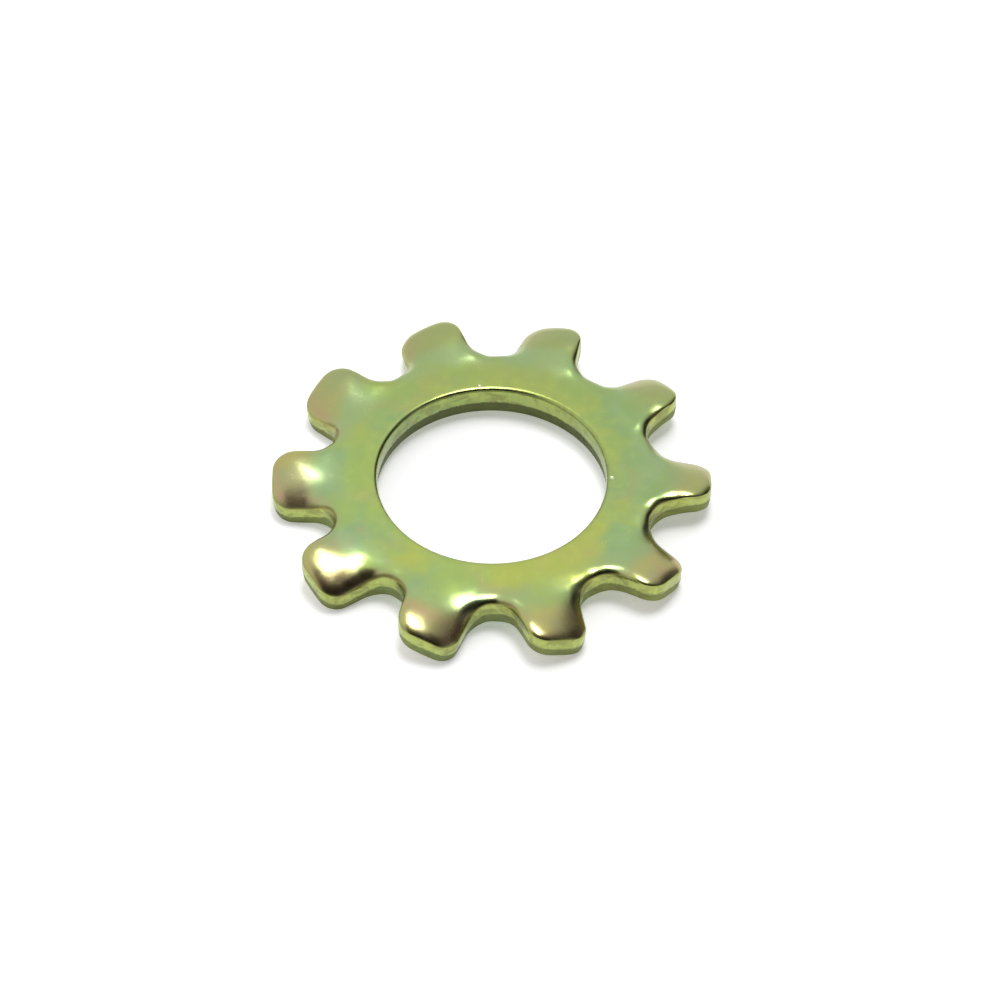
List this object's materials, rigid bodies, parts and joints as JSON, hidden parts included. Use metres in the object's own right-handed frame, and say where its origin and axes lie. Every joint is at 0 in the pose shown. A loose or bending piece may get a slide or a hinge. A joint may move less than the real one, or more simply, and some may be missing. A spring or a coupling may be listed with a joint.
{
  "type": "external tooth lock washer",
  "caption": "Thin metal ring with a plain bore and short twisted teeth round its outside, whose edges bite a nut or screw head and the work below to stop it turning.",
  "frame": {"origin": "on the axis of the bore, in the plane of the lowest corners of the teeth", "axes": "+Z along the bore, up through the face whose edges are rolled over; +X along the middle of one tooth"},
  "size_m": [0.0126, 0.0124, 0.0015],
  "materials": {
    "plated_steel": "bright zinc plate with a yellow-green iridescent passivation"
  },
  "bodies": {
    "root": {"lock_washer": "plated_steel"}
  },
  "joints": []
}
